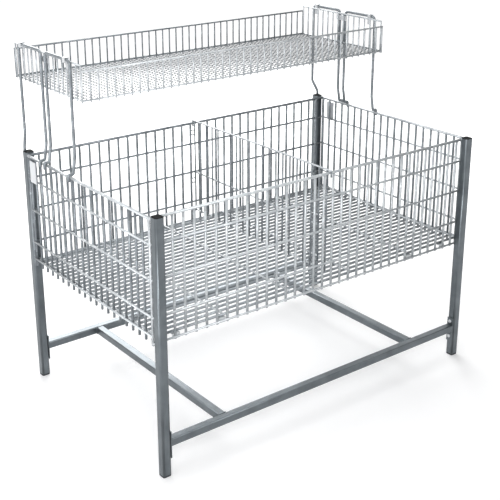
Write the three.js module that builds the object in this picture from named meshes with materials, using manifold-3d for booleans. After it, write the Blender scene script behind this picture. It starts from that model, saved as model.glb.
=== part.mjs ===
// Retail dump bin: a tube frame on four posts carries a wire basket with a lift-out divider,
// a loose wire floor and a lift-off wire tray standing on four bent-rod hoops.
// Millimetres, +Z up, +X along the length, +Y towards the back, origin on the floor under the
// middle of the whole outline, tray included.
import * as THREE from 'three';
import { mergeVertices } from 'three/addons/utils/BufferGeometryUtils.js';
import Module from 'manifold-3d';

const wasm = await Module();
wasm.setup();

// Overall sizes of the bin without its tray.
const LENGTH = 1250;
const DEPTH = 784;
const POST_TOP = 800;

// Fits: welded or resting neighbours stand this far apart.
const SEAT = 0.3;

// Posts: square tube with a plug in each end.
const POST = 30;
const POST_WALL = 1.5;
const POST_CORNER = 4;
const CAP_H = 14;
const CAP_BELOW = 0.7;
const FOOT_H = 6;
const SPIGOT_H = 12;
const FOOT_INSET = 1;

// Base rails: two long rails with bolted end plates, two cross rails between them.
const RAIL = 25;
const RAIL_WALL = 1.5;
const RAIL_CORNER = 3;
const RAIL_BOTTOM = 95;
const PLATE_T = 3;
const PLATE_DOWN = 38;
const PLATE_UP = 25;
const CROSS_X = 395;

// Basket walls: upright wires welded to a heavier rim and four lower wires. The uprights run on
// below the lowest wire, a little on the long walls and further on the end walls.
const NET_T = 6;
const RIM_H = 9;
const BAR_H = 6;
const WIRE = 6;
const RIM_BELOW_TOP = 8;
const DROPS = [75, 180, 292, 371];
const END_LOW_DROP = 352;
const LONG_TAIL = 4;
const END_TAIL = 20;
const LONG_GAPS = 34;
const SIDE_GAPS = 20;
const SIDE_EDGE = 7;

// Floor grid on sheet clips that hang on the long walls.
const FLOOR_ABOVE_BAR = 12;
const FLOOR_WALL_GAP = 5;
const FLOOR_LONG_GAPS = 8;
const FLOOR_DEEP_GAPS = 10;
const CLIP_T = 2;
const CLIP_W = 26;
const CLIP_LEDGE = 24;
const CLIP_TAIL = 16;
const CLIP_FROM_END = [240, 80];

// Divider: hangs on the front and back rims by its hooked top wire.
const DIVIDER_X = 18;
const DIVIDER_END_GAP = 6;
const DIVIDER_ABOVE_BAR = 49;
const DIVIDER_HOOK = 18;

// Label plates on the outside of the end walls, next to the back posts.
const LABEL_T = 2;
const LABEL_W = 38;
const LABEL_H = 70;
const LABEL_FROM_POST = 44;
const LABEL_GAP = 6;

// Tray: a wire floor with two long walls and two taller end walls.
const TRAY_PAST_REAR = 51;
const TRAY_PAST_FRONT = 49;
const TRAY_UP = 230;
const TRAY_WALL_H = 86;
const TRAY_END_EXTRA = 18;
const TRAY_T = 6;
const TRAY_RIM_H = 6;
const TRAY_WIRE = 4;
const TRAY_GAPS = 43;
const TRAY_END_GAPS = 15;
const TRAY_FLOOR_LONG = 8;
const TRAY_FLOOR_DEEP = 6;

// Hoops: 10 mm rod bent to an inverted U with cranked feet, a tie plate between each pair.
const ROD = 5;
const HOOP_IN = 5;
const FOOT_OUT = 8;
const CROWN_UP = 8;
const HOOP_BEND = 14;
const FOOT_BEND = 5.5;
const CRANK_RISE = 55;
const REAR_BEHIND = 25;
const REAR_SPAN = 147;
const HOOP_SPACE = 29;
const FRONT_SPAN = 152;
const HOOK_DROP = 20;
const HOOK_REACH = 8;
const STAND_RISE = 14;
const TIE_T = 2;
const TIE_W = 50;
const TIE_H = 18;
const TIE_DOWN = 7;

// Straps that hook the tray on the crowns of the hoops.
const STRAP_T = 2;
const STRAP_W = 14;
const STRAP_PLAY = 0.7;
const STRAP_INNER = 36;
const STRAP_OUTER = 16;
const STRAP_FROM_LEG = 22;

const postX = LENGTH / 2 - POST / 2;
const postY = DEPTH / 2 - POST / 2;
const innerX = postX - POST / 2;
const innerY = postY - POST / 2;
const rimZ = POST_TOP - RIM_BELOW_TOP;
const rimTop = rimZ + RIM_H / 2;
const levels = DROPS.map((d) => rimZ - d);
const bottomZ = levels[levels.length - 1];
// The basket stands between the front and the back posts, flush with their outer sides in length.
const wallY = innerY - SEAT - NET_T / 2;
const wallX = LENGTH / 2 - NET_T / 2;
// The hoops' legs from the back to the front, and the tray that hangs on their crowns.
const hoopX = postX - HOOP_IN;
const rearY = postY + REAR_BEHIND;
const midRearY = rearY - REAR_SPAN;
const midFrontY = midRearY - HOOP_SPACE;
const frontY = midFrontY - FRONT_SPAN;
const trayX = hoopX - ROD - STRAP_PLAY - STRAP_T - SEAT - TRAY_T / 2;
const trayFront = frontY - TRAY_PAST_FRONT;
const trayBack = rearY + TRAY_PAST_REAR;
const trayBase = POST_TOP + TRAY_UP;
const trayRim = trayBase + TRAY_WALL_H;
const trayEndRim = trayRim + TRAY_END_EXTRA;
const crownZ = trayEndRim + CROWN_UP;
// The tray reaches back past the posts, so the middle of the outline lies behind the bin's own.
const outlineMiddle = (trayBack + TRAY_T / 2 - DEPTH / 2) / 2;

const zinc = new THREE.MeshStandardMaterial({ color: 0x9aa2a9, metalness: 0.8, roughness: 0.4 });
const wireZinc = new THREE.MeshStandardMaterial({ color: 0xc9ccd0, metalness: 0.85, roughness: 0.3 });
const black = new THREE.MeshStandardMaterial({ color: 0x1d1f22, roughness: 0.7 });

const part = new THREE.Group();
part.name = 'retail_dump_bin';

function clean(geometry) {
  if (geometry.attributes.normal) geometry.deleteAttribute('normal');
  if (geometry.attributes.uv) geometry.deleteAttribute('uv');
  return mergeVertices(geometry, 1e-4);
}

function addMesh(name, geometry, material) {
  const closed = clean(geometry.translate(0, -outlineMiddle, 0));
  closed.computeVertexNormals();
  const mesh = new THREE.Mesh(closed, material);
  mesh.name = name;
  part.add(mesh);
}

function toSolid(geometry) {
  const g = clean(geometry);
  const vertProperties = new Float32Array(g.attributes.position.array);
  const triVerts = new Uint32Array(g.index.array);
  return new wasm.Manifold(new wasm.Mesh({ numProp: 3, vertProperties, triVerts }));
}

function fromSolid(solid) {
  const mesh = solid.getMesh();
  const g = new THREE.BufferGeometry();
  g.setAttribute('position', new THREE.BufferAttribute(new Float32Array(mesh.vertProperties), 3));
  g.setIndex(new THREE.BufferAttribute(new Uint32Array(mesh.triVerts), 1));
  return g;
}

function roundedSquare(target, size, corner) {
  const h = size / 2;
  const c = h - corner;
  target.moveTo(h, -c);
  target.lineTo(h, c);
  target.absarc(c, c, corner, 0, Math.PI / 2, false);
  target.lineTo(-c, h);
  target.absarc(-c, c, corner, Math.PI / 2, Math.PI, false);
  target.lineTo(-h, -c);
  target.absarc(-c, -c, corner, Math.PI, Math.PI * 1.5, false);
  target.lineTo(c, -h);
  target.absarc(c, -c, corner, Math.PI * 1.5, Math.PI * 2, false);
  return target;
}

function prism(shape, depth, cornerSteps = 2) {
  const options = { depth, bevelEnabled: false, steps: 1, curveSegments: cornerSteps };
  return new THREE.ExtrudeGeometry(shape, options);
}

// A length of square tube along +Z from the plane z = 0.
function squareTube(size, wall, corner, length) {
  const shape = roundedSquare(new THREE.Shape(), size, corner);
  shape.holes.push(roundedSquare(new THREE.Path(), size - 2 * wall, corner - wall));
  return prism(shape, length);
}

function squareBar(size, corner, length) {
  return prism(roundedSquare(new THREE.Shape(), size, corner), length, 1);
}

// One straight member of a net, from (u0, v0) to (u1, v1) in the net's plane.
function member(u0, v0, u1, v1, thick) {
  const box = new THREE.BoxGeometry(u1 - u0, v1 - v0, thick);
  return toSolid(box.translate((u0 + u1) / 2, (v0 + v1) / 2, thick / 2));
}

// A flat welded net: uprights at us (width uw) fused with bars at vs (heights vh).
// Bars can run on past the outer uprights, uprights below the lowest bar, and the top bar can
// end in hooks.
function net({ us, uw, vs, vh, ear = 0, tail = 0, hook = null, thick }) {
  const left = us[0] - uw / 2;
  const right = us[us.length - 1] + uw / 2;
  const base = vs[0] - vh[0] / 2 - tail;
  const top = vs.length - 1;
  const crown = vs[top] + vh[top] / 2;
  const members = us.map((u) => member(u - uw / 2, base, u + uw / 2, crown, thick));
  vs.forEach((v, j) => {
    const run = hook && j === top ? hook.out : ear;
    members.push(member(left - run, v - vh[j] / 2, right + run, v + vh[j] / 2, thick));
  });
  if (hook) {
    const tip = vs[top] - vh[top] / 2 - hook.drop;
    members.push(member(left - hook.out, tip, left - hook.out + hook.w, crown, thick));
    members.push(member(right + hook.out - hook.w, tip, right + hook.out, crown, thick));
  }
  return fromSolid(wasm.Manifold.union(members).asOriginal().simplify());
}

function spread(from, to, gaps) {
  return Array.from({ length: gaps + 1 }, (_, i) => from + ((to - from) * i) / gaps);
}

function place(geometry, u, v, w, origin) {
  const m = new THREE.Matrix4().makeBasis(u, v, w);
  m.setPosition(origin);
  return geometry.applyMatrix4(m);
}

const X = new THREE.Vector3(1, 0, 0);
const Y = new THREE.Vector3(0, 1, 0);
const Z = new THREE.Vector3(0, 0, 1);
const at = (x, y, z) => new THREE.Vector3(x, y, z);

// Net standing across Y (u along X, v up) with its middle plane at y.
const acrossY = (g, y, thick) => place(g, X, Z, Y.clone().negate(), at(0, y + thick / 2, 0));
// Net standing across X (u along Y, v up) with its middle plane at x.
const acrossX = (g, x, thick) => place(g, Y, Z, X, at(x - thick / 2, 0, 0));
// Net lying flat (u along X, v along Y) with its middle plane at z.
const flat = (g, z, thick) => place(g, X, Y, Z, at(0, 0, z - thick / 2));

// Posts with a black plug let into the top and a flanged foot plug below.
for (const [sy, row] of [[-1, 'front'], [1, 'back']]) {
  for (const [sx, col] of [[-1, 'left'], [1, 'right']]) {
    const x = sx * postX;
    const y = sy * postY;
    const id = `${row}_${col}`;
    const tubeLow = FOOT_H + SEAT;
    const tube = squareTube(POST, POST_WALL, POST_CORNER, POST_TOP - tubeLow);
    addMesh(`post_${id}`, tube.translate(x, y, tubeLow), zinc);
    const bore = POST - 2 * POST_WALL - 2 * SEAT;
    const boreCorner = POST_CORNER - POST_WALL;
    const cap = squareBar(bore, boreCorner, CAP_H);
    addMesh(`cap_${id}`, cap.translate(x, y, POST_TOP - CAP_BELOW - CAP_H), black);
    const sole = squareBar(POST - 2 * FOOT_INSET, POST_CORNER - FOOT_INSET, FOOT_H);
    const pad = toSolid(sole.translate(x, y, 0));
    const plug = toSolid(squareBar(bore, boreCorner, SPIGOT_H + FOOT_H / 2).translate(x, y, FOOT_H / 2));
    addMesh(`foot_${id}`, fromSolid(pad.add(plug)), black);
  }
}

// Long rails between end plates, and cross rails butted between the long rails.
const railZ = RAIL_BOTTOM + RAIL / 2;
const plateX = innerX - SEAT;
for (const [sy, row] of [[-1, 'front'], [1, 'back']]) {
  const half = plateX - PLATE_T - SEAT;
  const rail = squareTube(RAIL, RAIL_WALL, RAIL_CORNER, 2 * half);
  addMesh(`rail_${row}`, place(rail, Y, Z, X, at(-half, sy * postY, railZ)), zinc);
  for (const [sx, col] of [[-1, 'left'], [1, 'right']]) {
    const plate = new THREE.BoxGeometry(PLATE_T, RAIL, PLATE_DOWN + RAIL + PLATE_UP);
    plate.translate(sx * (plateX - PLATE_T / 2), sy * postY, railZ + (PLATE_UP - PLATE_DOWN) / 2);
    addMesh(`rail_plate_${row}_${col}`, plate, zinc);
  }
}
for (const [sx, col] of [[-1, 'left'], [1, 'right']]) {
  const half = postY - RAIL / 2 - SEAT;
  const rail = squareTube(RAIL, RAIL_WALL, RAIL_CORNER, 2 * half);
  addMesh(`cross_rail_${col}`, place(rail, Z, X, Y, at(sx * CROSS_X, -half, railZ)), zinc);
}

// Basket walls: the long walls lie against the posts, the end walls are welded between them.
const wallVs = [...levels].reverse().concat([rimZ]);
const endVs = [rimZ - END_LOW_DROP, ...wallVs.slice(1)];
const wallVh = levels.map(() => BAR_H).concat([RIM_H]);
const longEdge = LENGTH / 2 - WIRE / 2;
const faceY = wallY - NET_T / 2;
const sideEdge = faceY - SIDE_EDGE;
const longUs = spread(-longEdge, longEdge, LONG_GAPS);
const sideUs = spread(-sideEdge, sideEdge, SIDE_GAPS);
const wall = { uw: WIRE, vs: wallVs, vh: wallVh, thick: NET_T };
for (const [s, name] of [[-1, 'front'], [1, 'back']]) {
  const g = net({ ...wall, us: longUs, tail: LONG_TAIL });
  addMesh(`panel_${name}`, acrossY(g, s * wallY, NET_T), wireZinc);
}
for (const [s, name] of [[-1, 'left'], [1, 'right']]) {
  const ear = SIDE_EDGE - WIRE / 2 - SEAT;
  const g = net({ ...wall, us: sideUs, vs: endVs, ear, tail: END_TAIL });
  addMesh(`panel_${name}`, acrossX(g, s * wallX, NET_T), wireZinc);
}

// Loose floor grid lying on the clips.
const floorZ = bottomZ + FLOOR_ABOVE_BAR;
const floorX = wallX - NET_T / 2 - FLOOR_WALL_GAP - BAR_H / 2;
const floorY = faceY - FLOOR_WALL_GAP - BAR_H / 2;
const floorVs = spread(-floorY, floorY, FLOOR_DEEP_GAPS);
const floorNet = net({
  us: spread(-floorX, floorX, FLOOR_LONG_GAPS),
  uw: BAR_H,
  vs: floorVs,
  vh: floorVs.map(() => BAR_H),
  thick: NET_T,
});
addMesh('floor_grid', flat(floorNet, floorZ, NET_T), wireZinc);

// Angle clips on the inner faces of the long walls: a tail down the wall, a ledge under the floor.
const ledgeTop = floorZ - NET_T / 2 - SEAT;
for (const [sy, row] of [[-1, 'front'], [1, 'back']]) {
  for (const [sx, col] of [[-1, 'left'], [1, 'right']]) {
    CLIP_FROM_END.forEach((fromEnd, i) => {
      const cx = LENGTH / 2 - fromEnd;
      const face = faceY - SEAT;
      const shape = new THREE.Shape();
      shape.moveTo(face, ledgeTop - CLIP_TAIL);
      shape.lineTo(face, ledgeTop);
      shape.lineTo(face - CLIP_LEDGE, ledgeTop);
      shape.lineTo(face - CLIP_LEDGE, ledgeTop - CLIP_T);
      shape.lineTo(face - CLIP_T, ledgeTop - CLIP_T);
      shape.lineTo(face - CLIP_T, ledgeTop - CLIP_TAIL);
      shape.closePath();
      const g = place(prism(shape, CLIP_W), Y, Z, X, at(sx * cx - CLIP_W / 2, 0, 0));
      if (sy < 0) {
        g.rotateZ(Math.PI);
        g.translate(2 * sx * cx, 0, 0);
      }
      addMesh(`floor_clip_${row}_${col}_${i === 0 ? 'inner' : 'outer'}`, g, wireZinc);
    });
  }
}

// Divider: its top wire lies on both rims and hooks down outside them.
const dividerTop = rimTop + SEAT + BAR_H / 2;
const dividerEdge = faceY - DIVIDER_END_GAP;
const dividerOut = wallY + NET_T / 2 + SEAT + BAR_H - dividerEdge - WIRE / 2;
const dividerVs = [bottomZ + DIVIDER_ABOVE_BAR, levels[1], dividerTop];
const divider = net({
  us: spread(-dividerEdge, dividerEdge, SIDE_GAPS),
  uw: WIRE,
  vs: dividerVs,
  vh: dividerVs.map(() => BAR_H),
  hook: { out: dividerOut, w: BAR_H, drop: DIVIDER_HOOK },
  thick: NET_T,
});
addMesh('divider', acrossX(divider, DIVIDER_X, NET_T), wireZinc);

// Label plates on the outside of the end walls.
for (const [sx, col] of [[-1, 'left'], [1, 'right']]) {
  const g = new THREE.BoxGeometry(LABEL_T, LABEL_W, LABEL_H);
  const z = rimZ - RIM_H / 2 - LABEL_GAP - LABEL_H / 2;
  g.translate(sx * (wallX + NET_T / 2 + SEAT + LABEL_T / 2), innerY - LABEL_FROM_POST, z);
  addMesh(`label_plate_${col}`, g, wireZinc);
}

// Tray nets: long walls run the full length, the taller end walls and the floor fit between them.
const trayVh = [BAR_H, TRAY_RIM_H];
const trayHalf = trayX + TRAY_T / 2 - TRAY_WIRE / 2;
for (const [y, name] of [[trayFront, 'front'], [trayBack, 'back']]) {
  const us = spread(-trayHalf, trayHalf, TRAY_GAPS);
  const g = net({ us, uw: TRAY_WIRE, vs: [trayBase, trayRim], vh: trayVh, thick: TRAY_T });
  addMesh(`tray_wall_${name}`, acrossY(g, y, TRAY_T), wireZinc);
}
const trayIn0 = trayFront + TRAY_T / 2 + SEAT + TRAY_WIRE / 2;
const trayIn1 = trayBack - TRAY_T / 2 - SEAT - TRAY_WIRE / 2;
for (const [sx, col] of [[-1, 'left'], [1, 'right']]) {
  const us = spread(trayIn0, trayIn1, TRAY_END_GAPS);
  const g = net({ us, uw: TRAY_WIRE, vs: [trayBase, trayEndRim], vh: trayVh, thick: TRAY_T });
  addMesh(`tray_end_${col}`, acrossX(g, sx * trayX, TRAY_T), wireZinc);
}
const trayFloorX = trayX - TRAY_T / 2 - SEAT - TRAY_WIRE / 2;
const trayFloorVs = spread(trayIn0, trayIn1, TRAY_FLOOR_DEEP);
const trayFloor = net({
  us: spread(-trayFloorX, trayFloorX, TRAY_FLOOR_LONG),
  uw: TRAY_WIRE,
  vs: trayFloorVs,
  vh: trayFloorVs.map(() => TRAY_WIRE),
  thick: NET_T,
});
addMesh('tray_floor', flat(trayFloor, trayBase, NET_T), wireZinc);

// A bent rod as a curve through listed points, each corner turned in an arc.
class RodCurve extends THREE.Curve {
  constructor(points) {
    super();
    this.points = points;
  }

  getPoint(t) {
    const f = t * (this.points.length - 1);
    const i = Math.min(Math.floor(f), this.points.length - 2);
    return this.points[i].clone().lerp(this.points[i + 1], f - i);
  }

  getPointAt(t) {
    return this.getPoint(t);
  }

  getTangentAt(t) {
    const i = Math.round(t * (this.points.length - 1));
    const a = this.points[Math.max(i - 1, 0)];
    const p = this.points[i];
    const b = this.points[Math.min(i + 1, this.points.length - 1)];
    const before = p.clone().sub(a).normalize();
    const after = b.clone().sub(p).normalize();
    return before.add(after).normalize();
  }

  getSpacedPoints() {
    return this.points;
  }
}

function roundCorners(corners, radii, steps) {
  const out = [corners[0]];
  for (let i = 1; i + 1 < corners.length; i += 1) {
    const p = corners[i];
    const a = corners[i - 1].clone().sub(p).normalize();
    const b = corners[i + 1].clone().sub(p).normalize();
    const half = a.angleTo(b) / 2;
    const reach = radii[i - 1] / Math.tan(half);
    const centre = a.clone().add(b).normalize().multiplyScalar(radii[i - 1] / Math.sin(half)).add(p);
    const from = p.clone().addScaledVector(a, reach).sub(centre);
    const to = p.clone().addScaledVector(b, reach).sub(centre);
    const turn = from.angleTo(to);
    const n = Math.max(2, Math.round((steps * turn) / (Math.PI / 2)));
    const axis = from.clone().cross(to).normalize();
    for (let k = 0; k <= n; k += 1) {
      out.push(from.clone().applyAxisAngle(axis, (turn * k) / n).add(centre));
    }
  }
  out.push(corners[corners.length - 1]);
  return out;
}

function rod(points) {
  const section = new THREE.Shape();
  for (let k = 0; k < 6; k += 1) {
    const a = (Math.PI / 3) * k;
    if (k === 0) section.moveTo(ROD * Math.cos(a), ROD * Math.sin(a));
    else section.lineTo(ROD * Math.cos(a), ROD * Math.sin(a));
  }
  section.closePath();
  const options = { steps: points.length - 1, extrudePath: new RodCurve(points) };
  return new THREE.ExtrudeGeometry(section, options);
}

// Hoops: the rear one stands on the back post's plug, every other foot hooks over the end rim.
const plugTop = POST_TOP - CAP_BELOW + SEAT;
const saddleZ = rimTop + SEAT + ROD;
const hookX = wallX + NET_T / 2 + SEAT + ROD;
const crankTop = POST_TOP + CRANK_RISE;
for (const [sx, col] of [[-1, 'left'], [1, 'right']]) {
  const hookedLeg = (y) => [
    at(sx * hookX, y, saddleZ - HOOK_DROP),
    at(sx * hookX, y, saddleZ),
    at(sx * (wallX - HOOK_REACH), y, saddleZ),
    at(sx * hoopX, y, crankTop),
  ];
  const standLeg = [
    at(sx * (postX + FOOT_OUT), postY + FOOT_OUT, plugTop),
    at(sx * (postX + FOOT_OUT), postY + FOOT_OUT, plugTop + STAND_RISE),
    at(sx * hoopX, rearY, crankTop),
  ];
  const crown = (y0, y1) => [at(sx * hoopX, y0, crownZ), at(sx * hoopX, y1, crownZ)];
  const rear = [...standLeg, ...crown(rearY, midRearY), ...hookedLeg(midRearY).reverse()];
  const crowned = [HOOP_BEND, HOOP_BEND, HOOP_BEND, HOOP_BEND];
  const rearRadii = [HOOP_BEND, ...crowned, FOOT_BEND, FOOT_BEND];
  addMesh(`hoop_rear_${col}`, rod(roundCorners(rear, rearRadii, 4)), wireZinc);
  const front = [...hookedLeg(frontY), ...crown(frontY, midFrontY), ...hookedLeg(midFrontY).reverse()];
  const frontRadii = [FOOT_BEND, FOOT_BEND, ...crowned, FOOT_BEND, FOOT_BEND];
  addMesh(`hoop_front_${col}`, rod(roundCorners(front, frontRadii, 4)), wireZinc);

  // A tie plate welded on the inner sides of the two middle legs, below the tray's end rim.
  const tie = new THREE.BoxGeometry(TIE_T, TIE_W, TIE_H);
  const tieX = hoopX - ROD - SEAT - TIE_T / 2;
  tie.translate(sx * tieX, (midRearY + midFrontY) / 2, trayEndRim - TIE_DOWN - TIE_H / 2);
  addMesh(`hoop_tie_${col}`, tie, wireZinc);

  // Straps welded on the tray's end rims hook over the crowns of the hoops.
  for (const [y, name] of [[rearY - STRAP_FROM_LEG, 'rear'], [frontY + STRAP_FROM_LEG, 'front']]) {
    const inner = trayX + TRAY_T / 2 + SEAT;
    const outer = hoopX + ROD + SEAT + STRAP_T;
    const under = crownZ + ROD + SEAT;
    const shape = new THREE.Shape();
    shape.moveTo(inner, under + STRAP_T - STRAP_INNER);
    shape.lineTo(inner + STRAP_T, under + STRAP_T - STRAP_INNER);
    shape.lineTo(inner + STRAP_T, under);
    shape.lineTo(outer - STRAP_T, under);
    shape.lineTo(outer - STRAP_T, under + STRAP_T - STRAP_OUTER);
    shape.lineTo(outer, under + STRAP_T - STRAP_OUTER);
    shape.lineTo(outer, under + STRAP_T);
    shape.lineTo(inner, under + STRAP_T);
    shape.closePath();
    const g = place(prism(shape, STRAP_W), X, Z, Y.clone().negate(), at(0, STRAP_W / 2, 0));
    if (sx < 0) g.rotateZ(Math.PI);
    g.translate(0, y, 0);
    addMesh(`tray_strap_${name}_${col}`, g, wireZinc);
  }
}

export default part;
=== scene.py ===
import math

import bmesh
import bpy
from mathutils import Matrix, Vector


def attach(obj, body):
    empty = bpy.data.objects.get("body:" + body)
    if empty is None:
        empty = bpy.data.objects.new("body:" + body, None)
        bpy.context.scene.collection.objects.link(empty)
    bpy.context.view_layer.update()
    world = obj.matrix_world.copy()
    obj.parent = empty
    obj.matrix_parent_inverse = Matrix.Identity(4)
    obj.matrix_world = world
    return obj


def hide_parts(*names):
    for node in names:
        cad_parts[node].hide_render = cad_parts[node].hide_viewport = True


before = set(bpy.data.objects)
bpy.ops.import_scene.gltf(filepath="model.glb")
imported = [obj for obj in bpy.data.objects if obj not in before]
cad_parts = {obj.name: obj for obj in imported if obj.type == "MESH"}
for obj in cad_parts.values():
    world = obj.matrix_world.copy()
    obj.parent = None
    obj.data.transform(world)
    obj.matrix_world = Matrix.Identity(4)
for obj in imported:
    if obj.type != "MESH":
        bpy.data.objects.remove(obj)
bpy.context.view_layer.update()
scene = bpy.context.scene
scene.view_settings.view_transform = "Standard"


# The standpoint: a person's eye level in front of the bin's left end, looking down to the right.
# The lens is a short telephoto, with a little downward shift that keeps the posts near upright.
# Both turns of the head are in radians.
turn_right, look_down = 0.657, 0.3424
eye = bpy.data.cameras.new("eye")
eye.lens = 74.58
eye.sensor_width = 36.0
eye.shift_y = -0.10
eye_place = bpy.data.objects.new("eye", eye)
eye_place.location = (-1.9813, -2.5895, 1.7615)
level_look = Vector((math.sin(turn_right), math.cos(turn_right), 0.0))
look = level_look * math.cos(look_down) - Vector((0.0, 0.0, math.sin(look_down)))
eye_place.rotation_euler = look.to_track_quat("-Z", "Y").to_euler()
scene.collection.objects.link(eye_place)
scene.camera = eye_place


# Studio floor: a wide sheet of matt white paper under the bin, lit evenly.
# Plain rolled paper, with only the faint mottle of its fibres, drawn coarse enough to show.
sheet_half = 40.0
mottle_size = 0.4
lift_from, lift_to = 1.0, 5.0


def tone(code):
    parts = [int(code[i:i + 2], 16) / 255 for i in (1, 3, 5)]
    return [c / 12.92 if c <= 0.04045 else ((c + 0.055) / 1.055) ** 2.4 for c in parts] + [1.0]


def add_node(tree, kind, settings, inputs):
    node = tree.nodes.new(kind)
    for key, value in settings.items():
        setattr(node, key, value)
    for key, value in inputs.items():
        if isinstance(value, bpy.types.NodeSocket):
            tree.links.new(value, node.inputs[key])
        else:
            node.inputs[key].default_value = value
    return node


def start_finish(name):
    finish = bpy.data.materials.new(name)
    finish.use_nodes = True
    tree = finish.node_tree
    place = add_node(tree, "ShaderNodeTexCoord", {}, {})
    return finish, tree, tree.nodes["Principled BSDF"], place.outputs["Object"]


# One for what looks straight, by a mirror or through glass, and nought for the light that fills the room.
def looked_at(tree):
    path = add_node(tree, "ShaderNodeLightPath", {}, {})
    straight, mirrored = path.outputs["Is Camera Ray"], path.outputs["Is Glossy Ray"]
    seen = add_node(tree, "ShaderNodeMath", {}, {0: straight, 1: mirrored})
    clear = add_node(tree, "ShaderNodeMath", {}, {0: seen.outputs[0], 1: path.outputs["Is Transmission Ray"]})
    return clear.outputs[0]


paper, tree, shader, place = start_finish("white_studio_paper")
fibre = add_node(tree, "ShaderNodeTexNoise", {}, {"Vector": place, "Scale": 1 / mottle_size, "Detail": 3.0})
shade = add_node(tree, "ShaderNodeValToRGB", {}, {"Fac": fibre.outputs["Fac"]})
shade.color_ramp.elements[0].color = tone("#F4F4F5")
shade.color_ramp.elements[1].color = tone("#F9F9F9")
tree.links.new(shade.outputs["Color"], shader.inputs["Base Color"])
shader.inputs["Roughness"].default_value = 0.9
shader.inputs["Specular IOR Level"].default_value = 0.1
# Away from the bin the sheet is lifted to white for what looks at it, so it meets the pale room.
reach = add_node(tree, "ShaderNodeVectorMath", {"operation": "LENGTH"}, {0: place})
far = add_node(tree, "ShaderNodeMapRange", {}, {
    "Value": reach.outputs["Value"],
    "From Min": lift_from,
    "From Max": lift_to,
    "To Min": 0.13,
    "To Max": 0.7,
})
lift = add_node(tree, "ShaderNodeMath", {"operation": "MULTIPLY"}, {
    0: far.outputs["Result"], 1: looked_at(tree),
})
shader.inputs["Emission Color"].default_value = tone("#FFFFFF")
tree.links.new(lift.outputs[0], shader.inputs["Emission Strength"])
bm = bmesh.new()
bmesh.ops.create_grid(bm, x_segments=1, y_segments=1, size=sheet_half)
sheet_mesh = bpy.data.meshes.new("studio_floor")
bm.to_mesh(sheet_mesh)
bm.free()
studio_floor = bpy.data.objects.new("studio_floor", sheet_mesh)
studio_floor.data.materials.append(paper)
scene.collection.objects.link(studio_floor)


# Studio light: an even pale room with four soft boxes, on the left, in front, behind and overhead.
# The room lights less than it shows, so top faces shine and the sides of the tubes read darker.
room_light, room_look = 0.34, 1.0
room = bpy.data.worlds.new("pale_room")
room.use_nodes = True
scene.world = room
tree = room.node_tree
air = tree.nodes["Background"]
air.inputs["Color"].default_value = tone("#FFFFFF")
level = add_node(tree, "ShaderNodeMapRange", {}, {
    "Value": looked_at(tree), "To Min": room_light, "To Max": room_look,
})
tree.links.new(level.outputs["Result"], air.inputs["Strength"])
for name, spot, aim, size, power in (
    ("soft_box_left", (-3.6, -1.0, 1.0), (0.0, 0.0, 0.5), 1.8, 50.0),
    ("soft_box_front", (-2.2, -2.8, 2.2), (0.0, 0.0, 0.6), 1.4, 62.0),
    ("soft_box_back", (1.5, 3.7, 2.1), (0.0, 0.0, 0.3), 3.4, 185.0),
    ("soft_box_top", (-0.6, 0.6, 4.6), (0.0, 0.0, 0.6), 3.0, 75.0),
):
    lamp = bpy.data.lights.new(name, "AREA")
    lamp.shape = "SQUARE"
    lamp.size = size
    lamp.energy = power
    box = bpy.data.objects.new(name, lamp)
    box.location = spot
    box.visible_camera = False
    box.rotation_euler = (Vector(aim) - Vector(spot)).to_track_quat("-Z", "Y").to_euler()
    scene.collection.objects.link(box)


# Posts: four lengths of 30 mm square steel tube, cold formed with rounded corners and open on top.
# Zinc plated: a soft blue-grey metal with cloudy patches a few centimetres wide and a fine grain.
# Sizes are in metres from the middle of the four posts, and the tube is drawn just under its nominal width.
rows = (("front", -1), ("back", 1))
ends = (("left", -1), ("right", 1))
post_x, post_y = 0.610, 0.377
post_foot, post_top = 0.0063, 0.8000
post_width, post_corner = 0.0292, 0.0065
tube_wall, plug_room = 0.0015, 0.013
cloud_size, grain_size, grain_depth = 0.06, 0.004, 0.0002
zinc_tube, tree, shader, place = start_finish("zinc_plated_tube")
cloud = add_node(tree, "ShaderNodeTexNoise", {}, {"Vector": place, "Scale": 1 / cloud_size, "Detail": 4.0})
grain = add_node(tree, "ShaderNodeTexNoise", {}, {"Vector": place, "Scale": 1 / grain_size, "Detail": 2.0})
tint = add_node(tree, "ShaderNodeValToRGB", {}, {"Fac": cloud.outputs["Fac"]})
tint.color_ramp.elements[0].position = 0.3
tint.color_ramp.elements[0].color = tone("#5C6266")
tint.color_ramp.elements[1].position = 0.7
tint.color_ramp.elements[1].color = tone("#70767A")
gloss = add_node(tree, "ShaderNodeMapRange", {}, {
    "Value": cloud.outputs["Fac"], "To Min": 0.30, "To Max": 0.40,
})
rough = add_node(tree, "ShaderNodeBump", {}, {
    "Height": grain.outputs["Fac"], "Strength": 0.08, "Distance": grain_depth,
})
tree.links.new(tint.outputs["Color"], shader.inputs["Base Color"])
tree.links.new(gloss.outputs["Result"], shader.inputs["Roughness"])
tree.links.new(rough.outputs["Normal"], shader.inputs["Normal"])
shader.inputs["Metallic"].default_value = 0.85

# The tray reaches back past the posts, so the middle of the posts lies in front of the frame's origin.
posts_forward = 0.032


def keep_piece(name, bm, finishes, body, nodes):
    mesh = bpy.data.meshes.new(name)
    bmesh.ops.translate(bm, vec=(0, -posts_forward, 0), verts=bm.verts)
    bmesh.ops.recalc_face_normals(bm, faces=bm.faces)
    bm.to_mesh(mesh)
    bm.free()
    piece = bpy.data.objects.new(name, mesh)
    for finish in finishes:
        mesh.materials.append(finish)
    scene.collection.objects.link(piece)
    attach(piece, body)
    if nodes:
        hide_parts(*nodes)


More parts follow.
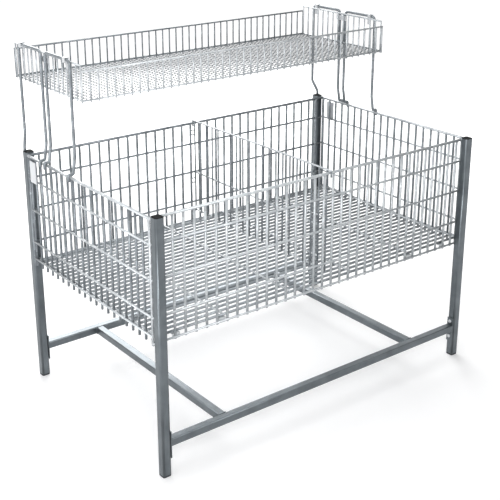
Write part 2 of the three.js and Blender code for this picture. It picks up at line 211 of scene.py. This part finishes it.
def square_bar(bm, width, corner, length):
    bmesh.ops.create_cube(bm, size=1.0)
    bmesh.ops.scale(bm, vec=(width, width, length), verts=bm.verts)
    bmesh.ops.translate(bm, vec=(0, 0, length / 2), verts=bm.verts)
    uprights = [e for e in bm.edges if abs(e.verts[0].co.z - e.verts[1].co.z) > length / 2]
    bmesh.ops.bevel(bm, geom=uprights, offset=corner, segments=5, profile=0.5, affect="EDGES", material=-1)


# A tube's flat sides stay flat and only its round corners are shaded smooth.
def square_tube(bm, width, corner, length, mouth):
    square_bar(bm, width, corner, length)
    for side in bm.faces:
        side.smooth = max(abs(part) for part in side.normal) < 0.999
    if mouth:
        top = [f for f in bm.faces if f.normal.z > 0.9]
        bmesh.ops.inset_region(bm, faces=top, thickness=tube_wall, use_even_offset=True)
        bore = bmesh.ops.extrude_discrete_faces(bm, faces=top)
        sunk = {v for f in bore["faces"] for v in f.verts}
        bmesh.ops.translate(bm, vec=(0, 0, -mouth), verts=list(sunk))


for row, sy in rows:
    for end, sx in ends:
        bm = bmesh.new()
        square_tube(bm, post_width, post_corner, post_top - post_foot, plug_room)
        bmesh.ops.translate(bm, vec=(sx * post_x, sy * post_y, post_foot), verts=bm.verts)
        keep_piece(f"tube_post_{row}_{end}", bm, [zinc_tube], "stand", [f"post_{row}_{end}"])


# Plugs: moulded plastic, one let into each post top under a thin lip and a rounded foot below each post.
# Polyethylene: a dull black with the fine grain of the mould, worn to a dark grey on the feet.
mould_grain, mould_depth = 0.002, 0.0002
plug_round = 0.0016
plug_plastic, tree, shader, place = start_finish("moulded_black_polyethylene")
grain = add_node(tree, "ShaderNodeTexNoise", {}, {"Vector": place, "Scale": 1 / mould_grain, "Detail": 3.0})
tint = add_node(tree, "ShaderNodeValToRGB", {"name": "tint"}, {"Fac": grain.outputs["Fac"]})
tint.color_ramp.elements[0].color = tone("#08090A")
tint.color_ramp.elements[1].color = tone("#121315")
rough = add_node(tree, "ShaderNodeBump", {}, {
    "Height": grain.outputs["Fac"], "Strength": 0.2, "Distance": mould_depth,
})
tree.links.new(tint.outputs["Color"], shader.inputs["Base Color"])
tree.links.new(rough.outputs["Normal"], shader.inputs["Normal"])
shader.inputs["Roughness"].default_value = 0.85
shader.inputs["Specular IOR Level"].default_value = 0.12


# The same stuff in another tone.
def retone(finish, name, dark, pale):
    other = finish.copy()
    other.name = name
    steps = other.node_tree.nodes["tint"].color_ramp.elements
    steps[0].color = tone(dark)
    steps[1].color = tone(pale)
    return other


foot_plastic = retone(plug_plastic, "worn_grey_polyethylene", "#3A3C3F", "#4C4F52")
for row, sy in rows:
    for end, sx in ends:
        for name, node, width, corner, low, high, plastic in (
            ("top_plug", "cap", 0.0260, 0.0050, 0.7853, 0.7993, plug_plastic),
            ("plug_lip", "", 0.0290, 0.0065, 0.7999, 0.8013, plug_plastic),
            ("foot_plug", "foot", 0.0284, 0.0060, 0.0000, 0.0060, foot_plastic),
        ):
            bm = bmesh.new()
            square_bar(bm, width, corner, high - low)
            bmesh.ops.translate(bm, vec=(sx * post_x, sy * post_y, low), verts=bm.verts)
            worn_z = low if node == "foot" else high
            rim = [e for e in bm.edges if all(abs(v.co.z - worn_z) < 1e-5 for v in e.verts)]
            soft = min(plug_round, 0.45 * (high - low))
            bmesh.ops.bevel(bm, geom=rim, offset=soft, segments=3, profile=0.5, affect="EDGES", material=-1)
            stands_for = [f"{node}_{row}_{end}"] if node else []
            keep_piece(f"{name}_{row}_{end}", bm, [plastic], "stand", stands_for)


# Base rails: 25 mm square tube, a long rail front and back and two cross rails butted between them.
# Same plated tube as the posts; a bead of weld runs round each butt joint.
rail_width, rail_corner, rail_z = 0.025, 0.003, 0.1075
long_rail_half = 0.5914
cross_rail_x, cross_rail_half = 0.395, 0.3642
bead_y, bead_corner, bead_thick = 0.3635, 0.0174, 0.0020


# A round bead swept through the four corners of a square, lying across the Y direction.
def weld_bead(bm, centre):
    stand_up = Matrix.Translation((bead_corner, 0, 0)) @ Matrix.Rotation(math.pi / 2, 4, "X")
    bmesh.ops.create_circle(bm, segments=6, radius=bead_thick, cap_ends=False, matrix=stand_up)
    loop = list(bm.edges)
    bmesh.ops.spin(bm, geom=loop, cent=(0, 0, 0), axis=(0, 0, 1), angle=math.tau, steps=4, use_merge=True)
    lie = Matrix.Rotation(-math.pi / 2, 4, "X") @ Matrix.Rotation(math.pi / 4, 4, "Z")
    bmesh.ops.transform(bm, matrix=Matrix.Translation(centre) @ lie, verts=bm.verts)
    for side in bm.faces:
        side.smooth = True


for row, sy in rows:
    bm = bmesh.new()
    square_tube(bm, rail_width, rail_corner, 2 * long_rail_half, 0)
    lay = Matrix.Translation((-long_rail_half, sy * post_y, rail_z)) @ Matrix.Rotation(math.pi / 2, 4, "Y")
    bmesh.ops.transform(bm, matrix=lay, verts=bm.verts)
    keep_piece(f"tube_rail_{row}", bm, [zinc_tube], "stand", [f"rail_{row}"])
for end, sx in ends:
    bm = bmesh.new()
    square_tube(bm, rail_width, rail_corner, 2 * cross_rail_half, 0)
    start = Matrix.Translation((sx * cross_rail_x, cross_rail_half, rail_z))
    bmesh.ops.transform(bm, matrix=start @ Matrix.Rotation(math.pi / 2, 4, "X"), verts=bm.verts)
    keep_piece(f"tube_cross_rail_{end}", bm, [zinc_tube], "stand", [f"cross_rail_{end}"])
    for row, sy in rows:
        bm = bmesh.new()
        weld_bead(bm, (sx * cross_rail_x, sy * bead_y, rail_z))
        keep_piece(f"weld_bead_{row}_{end}", bm, [zinc_tube], "stand", [])


# Rail end plates: 3 mm strips at the ends of the long rails, in the finish of the tube.
# Each is held to the inner side of its post by two hexagon bolts of bright zinc.
# Zinc-plated sheet and bolts are paler than the tube, with fine rolling lines that run upwards; part of that
# paleness is painted light for the shaded label plates.
plate_face = 0.5917
bolt_heights = (("upper", 0.133), ("lower", 0.076))
bolt_radius, bolt_depth, bolt_edge, bolt_out = 0.0062, 0.0045, 0.0010, 0.0022
rolling_line, line_stretch = 0.003, 0.08
zinc_sheet_and_painted_light, tree, shader, place = start_finish("bright_zinc_sheet_and_painted_light")
stretch = add_node(tree, "ShaderNodeMapping", {}, {"Vector": place, "Scale": (1.0, 1.0, line_stretch)})
lines = add_node(tree, "ShaderNodeTexNoise", {}, {
    "Vector": stretch.outputs["Vector"], "Scale": 1 / rolling_line, "Detail": 3.0,
})
tint = add_node(tree, "ShaderNodeValToRGB", {}, {"Fac": lines.outputs["Fac"]})
tint.color_ramp.elements[0].color = tone("#C8CBCE")
tint.color_ramp.elements[1].color = tone("#DCDEE0")
gloss = add_node(tree, "ShaderNodeMapRange", {}, {
    "Value": lines.outputs["Fac"], "To Min": 0.42, "To Max": 0.55,
})
tree.links.new(tint.outputs["Color"], shader.inputs["Base Color"])
tree.links.new(gloss.outputs["Result"], shader.inputs["Roughness"])
shader.inputs["Metallic"].default_value = 0.6


def finish_node(node, finish):
    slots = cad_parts[node].data.materials
    slots.clear()
    slots.append(finish)


for row, sy in rows:
    for end, sx in ends:
        finish_node(f"rail_plate_{row}_{end}", zinc_tube)
        for level, z in bolt_heights:
            bm = bmesh.new()
            bmesh.ops.create_cone(
                bm, cap_ends=True, segments=6, radius1=bolt_radius, radius2=bolt_radius, depth=bolt_depth
            )
            crown = [e for e in bm.edges if all(v.co.z > 0 for v in e.verts)]
            bmesh.ops.bevel(
                bm, geom=crown, offset=bolt_edge, segments=2, profile=0.5, affect="EDGES", material=-1
            )
            turn = Matrix.Rotation(-sx * math.pi / 2, 4, "Y")
            spot = Matrix.Translation((sx * (plate_face - bolt_out), sy * post_y, z))
            bmesh.ops.transform(bm, matrix=spot @ turn, verts=bm.verts)
            keep_piece(f"plate_bolt_{row}_{end}_{level}", bm, [zinc_sheet_and_painted_light], "stand", [])


# Basket walls: upright wires spot welded inside four bars and a heavier rim, welded to the posts.
# The real wires are about 6 mm thick; they are drawn thicker so that they still show at this distance.
# Zinc-plated drawn wire: a hard shine broken by short dull patches; a paler copy is painted light on the
# front and the end bars.
upright_thick, bar_thick, rim_thick = 0.0080, 0.0068, 0.0094
upright_top, rim_z = 0.7930, 0.792
middle_bars = (0.500, 0.612, 0.717)
long_wall_y, long_bar_half, long_low_bar = 0.3587, 0.625, 0.421
long_uprights, long_upright_half, long_upright_foot = 35, 0.622, 0.4140
end_wall_x, end_bar_half, end_low_bar = 0.622, 0.3554, 0.440
end_uprights, end_upright_half, end_upright_foot = 21, 0.3487, 0.4170
dull_patch = 0.03
bright_wire, tree, shader, place = start_finish("bright_zinc_drawn_wire")
patch = add_node(tree, "ShaderNodeTexNoise", {}, {"Vector": place, "Scale": 1 / dull_patch, "Detail": 3.0})
tint = add_node(tree, "ShaderNodeValToRGB", {"name": "tint"}, {"Fac": patch.outputs["Fac"]})
tint.color_ramp.elements[0].position = 0.3
tint.color_ramp.elements[0].color = tone("#666C71")
tint.color_ramp.elements[1].position = 0.7
tint.color_ramp.elements[1].color = tone("#8B9196")
gloss = add_node(tree, "ShaderNodeMapRange", {}, {
    "Value": patch.outputs["Fac"], "To Min": 0.18, "To Max": 0.34,
})
tree.links.new(tint.outputs["Color"], shader.inputs["Base Color"])
tree.links.new(gloss.outputs["Result"], shader.inputs["Roughness"])
shader.inputs["Metallic"].default_value = 0.25
# The paler copy is painted light: the lit look of wires that face the lamps.
lit_wire_painted = retone(bright_wire, "painted_light_zinc_drawn_wire", "#A6ABAF", "#C8CCCF")


def spread(half, count):
    return [-half + 2 * half * i / (count - 1) for i in range(count)]


# One cut length of wire between two points, in the first or second finish of its piece.
def straight_wire(bm, a, b, across, finish=0):
    a, b = Vector(a), Vector(b)
    run = b - a
    aim = Vector((0, 0, 1)).rotation_difference(run).to_matrix().to_4x4()
    spot = Matrix.Translation((a + b) / 2) @ aim
    made = bmesh.ops.create_cone(
        bm, cap_ends=True, segments=8, radius1=across / 2, radius2=across / 2, depth=run.length, matrix=spot
    )
    for side in {f for v in made["verts"] for f in v.link_faces}:
        side.smooth = len(side.verts) == 4
        side.material_index = finish


for row, sy, wire in (("front", -1, lit_wire_painted), ("back", 1, bright_wire)):
    bm = bmesh.new()
    bar_y = sy * long_wall_y
    upright_y = bar_y - sy * bar_thick / 2
    for x in spread(long_upright_half, long_uprights):
        straight_wire(bm, (x, upright_y, long_upright_foot), (x, upright_y, upright_top), upright_thick)
    for z in (long_low_bar,) + middle_bars:
        straight_wire(bm, (-long_bar_half, bar_y, z), (long_bar_half, bar_y, z), bar_thick)
    straight_wire(bm, (-long_bar_half, bar_y, rim_z), (long_bar_half, bar_y, rim_z), rim_thick)
    keep_piece(f"wire_wall_{row}", bm, [wire], "stand", [f"panel_{row}"])
for end, sx in ends:
    bm = bmesh.new()
    bar_x = sx * end_wall_x
    upright_x = bar_x - sx * bar_thick / 2
    for y in spread(end_upright_half, end_uprights):
        straight_wire(bm, (upright_x, y, end_upright_foot), (upright_x, y, upright_top), upright_thick)
    for z in (end_low_bar,) + middle_bars:
        straight_wire(bm, (bar_x, -end_bar_half, z), (bar_x, end_bar_half, z), bar_thick, finish=1)
    straight_wire(bm, (bar_x, -end_bar_half, rim_z), (bar_x, end_bar_half, rim_z), rim_thick, finish=1)
    keep_piece(f"wire_wall_{end}", bm, [bright_wire, lit_wire_painted], "stand", [f"panel_{end}"])
    # The pale sheet finish on the label plates is partly painted light on their shaded side.
    finish_node(f"label_plate_{end}", zinc_sheet_and_painted_light)


# Basket floor: a loose grid of lengthwise wires 25 mm apart, welded under six cross wires with painted light
# making them paler.
# Drawn wire like the walls, darkened as painted shade and drawn thicker too; it lies on eight folded sheet
# clips.
long_wires, long_wire_half, long_wire_y = 29, 0.6140, 0.3462
long_wire_z, long_wire_thick = 0.4346, 0.0084
cross_wire_places = (-0.6105, -0.380, -0.125, 0.125, 0.380, 0.6105)
cross_wire_half, cross_wire_z, cross_wire_thick = 0.3490, 0.4402, 0.0066
# A darker copy of the wire: painted shade on the basket floor.
floor_wire_painted_shade = retone(bright_wire, "painted_shade_zinc_drawn_wire", "#7D8388", "#9FA5A9")
bm = bmesh.new()
for y in spread(long_wire_y, long_wires):
    straight_wire(bm, (-long_wire_half, y, long_wire_z), (long_wire_half, y, long_wire_z), long_wire_thick)
for x in cross_wire_places:
    front_end, back_end = (x, -cross_wire_half, cross_wire_z), (x, cross_wire_half, cross_wire_z)
    straight_wire(bm, front_end, back_end, cross_wire_thick, finish=1)
keep_piece("wire_floor", bm, [floor_wire_painted_shade, lit_wire_painted], "floor", ["floor_grid"])
for row, sy in rows:
    for end, sx in ends:
        for spot in ("inner", "outer"):
            finish_node(f"floor_clip_{row}_{end}_{spot}", zinc_sheet_and_painted_light)


# Divider: a welded net that hangs across the basket, its top wire hooked over both rims.
# Drawn wire with bars painted paler as if lit; the hook ends are bent down outside the rims, and two eyelets
# sit at the back.
divider_uprights, divider_half = 21, 0.3497
divider_x, divider_foot, divider_top = 0.0150, 0.4670, 0.7995
divider_wire, divider_bar = 0.0056, 0.0060
divider_bar_x, divider_bars, divider_bar_half = 0.018, (0.470, 0.612), 0.3520
hook_bar_z, hook_bar_half = 0.7998, 0.3677
hook_y, hook_top, hook_tip = 0.3650, 0.8000, 0.7790
eyelet_heights, eyelet_y, eyelet_wire = (0.585, 0.762), 0.3470, 0.0040
eyelet_half, eyelet_tip, eyelet_side, eyelet_side_half = 0.008, -0.0060, -0.0050, 0.009
bm = bmesh.new()
for y in spread(divider_half, divider_uprights):
    straight_wire(bm, (divider_x, y, divider_foot), (divider_x, y, divider_top), divider_wire)
for z, half in [(z, divider_bar_half) for z in divider_bars] + [(hook_bar_z, hook_bar_half)]:
    straight_wire(bm, (divider_bar_x, -half, z), (divider_bar_x, half, z), divider_bar, finish=1)
for row, sy in rows:
    y = sy * hook_y
    straight_wire(bm, (divider_bar_x, y, hook_top), (divider_bar_x, y, hook_tip), divider_wire)
for z in eyelet_heights:
    for arm_z in (z + eyelet_half, z - eyelet_half):
        straight_wire(bm, (divider_x, eyelet_y, arm_z), (eyelet_tip, eyelet_y, arm_z), eyelet_wire)
    low, high = z - eyelet_side_half, z + eyelet_side_half
    straight_wire(bm, (eyelet_side, eyelet_y, low), (eyelet_side, eyelet_y, high), eyelet_wire)
keep_piece("wire_divider", bm, [bright_wire, lit_wire_painted], "divider", ["divider"])


# Hoops: 10 mm rod bent into two upside-down Us at each end, with feet hooked over the end rims.
# The rearmost leg is cranked and stands on the plug of the back post; a sheet tie joins the two Us.
# The same drawn zinc in the grey of a thicker rod.
rod_half, bend, hook_bend, bend_step = 0.005, 0.014, 0.0055, 0.2
hoop_x, hoop_top, leg_foot = 0.605, 1.142, 0.855
front_hoop_y, rear_hoop_y = (0.074, 0.226), (0.255, 0.402)
rim_hook_out, rim_hook_in, rim_hook_tip, rim_hook_top = 0.6303, 0.6140, 0.7818, 0.8018
stub_x, stub_y, stub_low, stub_high = 0.618, 0.385, 0.7996, 0.8136
rod_steel = retone(bright_wire, "grey_zinc_bent_rod", "#696F74", "#8A9095")


# The straight stretch of a rod: its open end is drawn out and the new end's edges are given back.
def draw_on(bm, loop, way):
    grown = bmesh.ops.extrude_edge_only(bm, edges=loop)["geom"]
    ring = [g for g in grown if isinstance(g, bmesh.types.BMVert)]
    bmesh.ops.translate(bm, vec=way, verts=ring)
    return [g for g in grown if isinstance(g, bmesh.types.BMEdge) and all(v in ring for v in g.verts)]


# A round rod that follows the corners, with a true bend of the given radius at each inner one.
def bent_rod(bm, corners, radii, half):
    corners = [Vector(c) for c in corners]
    aim = Vector((0, 0, 1)).rotation_difference(corners[1] - corners[0]).to_matrix().to_4x4()
    start = bmesh.ops.create_circle(
        bm, cap_ends=False, segments=12, radius=half, matrix=Matrix.Translation(corners[0]) @ aim
    )
    loop = list({e for v in start["verts"] for e in v.link_edges})
    bmesh.ops.contextual_create(bm, geom=loop)
    here = corners[0]
    for i, radius in enumerate(radii, start=1):
        before = (corners[i] - corners[i - 1]).normalized()
        after = (corners[i + 1] - corners[i]).normalized()
        turn = before.angle(after)
        reach = radius * math.tan(turn / 2)
        stop = corners[i] - before * reach
        loop = draw_on(bm, loop, stop - here)
        axis = before.cross(after).normalized()
        centre = stop + axis.cross(before) * radius
        steps = max(3, round(turn / bend_step))
        bent = bmesh.ops.spin(bm, geom=loop, cent=centre, axis=axis, angle=turn, steps=steps)
        loop = [g for g in bent["geom_last"] if isinstance(g, bmesh.types.BMEdge)]
        here = corners[i] + after * reach
    loop = draw_on(bm, loop, corners[-1] - here)
    bmesh.ops.contextual_create(bm, geom=loop)
    for side in bm.faces:
        side.smooth = len(side.verts) == 4


# A leg from the tip of its hook, over the rim and up to where it stands straight.
def hooked_foot(sx, y):
    return [
        (sx * rim_hook_out, y, rim_hook_tip),
        (sx * rim_hook_out, y, rim_hook_top),
        (sx * rim_hook_in, y, rim_hook_top),
        (sx * hoop_x, y, leg_foot),
    ]


for end, sx in ends:
    fore, aft = rear_hoop_y
    rear = [(sx * stub_x, stub_y, stub_low), (sx * stub_x, stub_y, stub_high), (sx * hoop_x, aft, leg_foot)]
    rear += [(sx * hoop_x, aft, hoop_top), (sx * hoop_x, fore, hoop_top)] + hooked_foot(sx, fore)[::-1]
    bm = bmesh.new()
    bent_rod(bm, rear, [bend] * 5 + [hook_bend] * 2, rod_half)
    keep_piece(f"rod_hoop_rear_{end}", bm, [rod_steel], "stand", [f"hoop_rear_{end}"])
    fore, aft = front_hoop_y
    front = hooked_foot(sx, fore) + [(sx * hoop_x, fore, hoop_top), (sx * hoop_x, aft, hoop_top)]
    front += hooked_foot(sx, aft)[::-1]
    bm = bmesh.new()
    bent_rod(bm, front, [hook_bend] * 2 + [bend] * 4 + [hook_bend] * 2, rod_half)
    keep_piece(f"rod_hoop_front_{end}", bm, [rod_steel], "stand", [f"hoop_front_{end}"])
    finish_node(f"hoop_tie_{end}", zinc_sheet_and_painted_light)


# Tray: a long shallow wire basket, hung on the hoops by four folded sheet straps.
# Drawn wire, spot welded, with painted light making it paler on the front and the ends.
# The end walls stand 18 mm higher than the long ones.
tray_upright, tray_rim, tray_edge = 0.0052, 0.0060, 0.0054
tray_foot, tray_edge_z = 1.0240, 1.030
tray_rim_z, tray_end_rim_z = 1.116, 1.134
tray_front_y, tray_back_y = 0.025, 0.453
tray_uprights, tray_upright_half, tray_rim_half = 44, 0.595, 0.597
tray_end_uprights, tray_end_x, tray_end_half = 16, 0.594, 0.2087
tray_mid_y, tray_inner_half = 0.2390, 0.2107
tray_floor_wire = 0.0022
tray_floor_long, tray_floor_x, tray_floor_upper_z = 27, 0.5907, 1.0316
tray_floor_cross, tray_floor_cross_half, tray_floor_lower_z = 67, 0.5887, 1.0292
for row, y, wire in (("front", tray_front_y, lit_wire_painted), ("back", tray_back_y, bright_wire)):
    bm = bmesh.new()
    for x in spread(tray_upright_half, tray_uprights):
        straight_wire(bm, (x, y, tray_foot), (x, y, tray_rim_z), tray_upright)
    for z, across in ((tray_rim_z, tray_rim), (tray_edge_z, tray_edge)):
        straight_wire(bm, (-tray_rim_half, y, z), (tray_rim_half, y, z), across)
    keep_piece(f"wire_tray_{row}", bm, [wire], "tray", [f"tray_wall_{row}"])
inner_front, inner_back = tray_mid_y - tray_inner_half, tray_mid_y + tray_inner_half
for end, sx in ends:
    bm = bmesh.new()
    x = sx * tray_end_x
    for step in spread(tray_end_half, tray_end_uprights):
        y = tray_mid_y + step
        straight_wire(bm, (x, y, tray_foot), (x, y, tray_end_rim_z), tray_upright)
    for z, across in ((tray_end_rim_z, tray_rim), (tray_edge_z, tray_edge)):
        straight_wire(bm, (x, inner_front, z), (x, inner_back, z), across)
    keep_piece(f"wire_tray_end_{end}", bm, [lit_wire_painted], "tray", [f"tray_end_{end}"])
    for hoop in ("rear", "front"):
        finish_node(f"tray_strap_{hoop}_{end}", zinc_sheet_and_painted_light)
bm = bmesh.new()
for step in spread(tray_end_half, tray_floor_long):
    left_end = Vector((-tray_floor_x, tray_mid_y + step, tray_floor_upper_z))
    straight_wire(bm, left_end, left_end + Vector((2 * tray_floor_x, 0, 0)), tray_floor_wire)
for x in spread(tray_floor_cross_half, tray_floor_cross):
    z = tray_floor_lower_z
    straight_wire(bm, (x, inner_front, z), (x, inner_back, z), tray_floor_wire)
keep_piece("wire_tray_floor", bm, [bright_wire], "tray", ["tray_floor"])
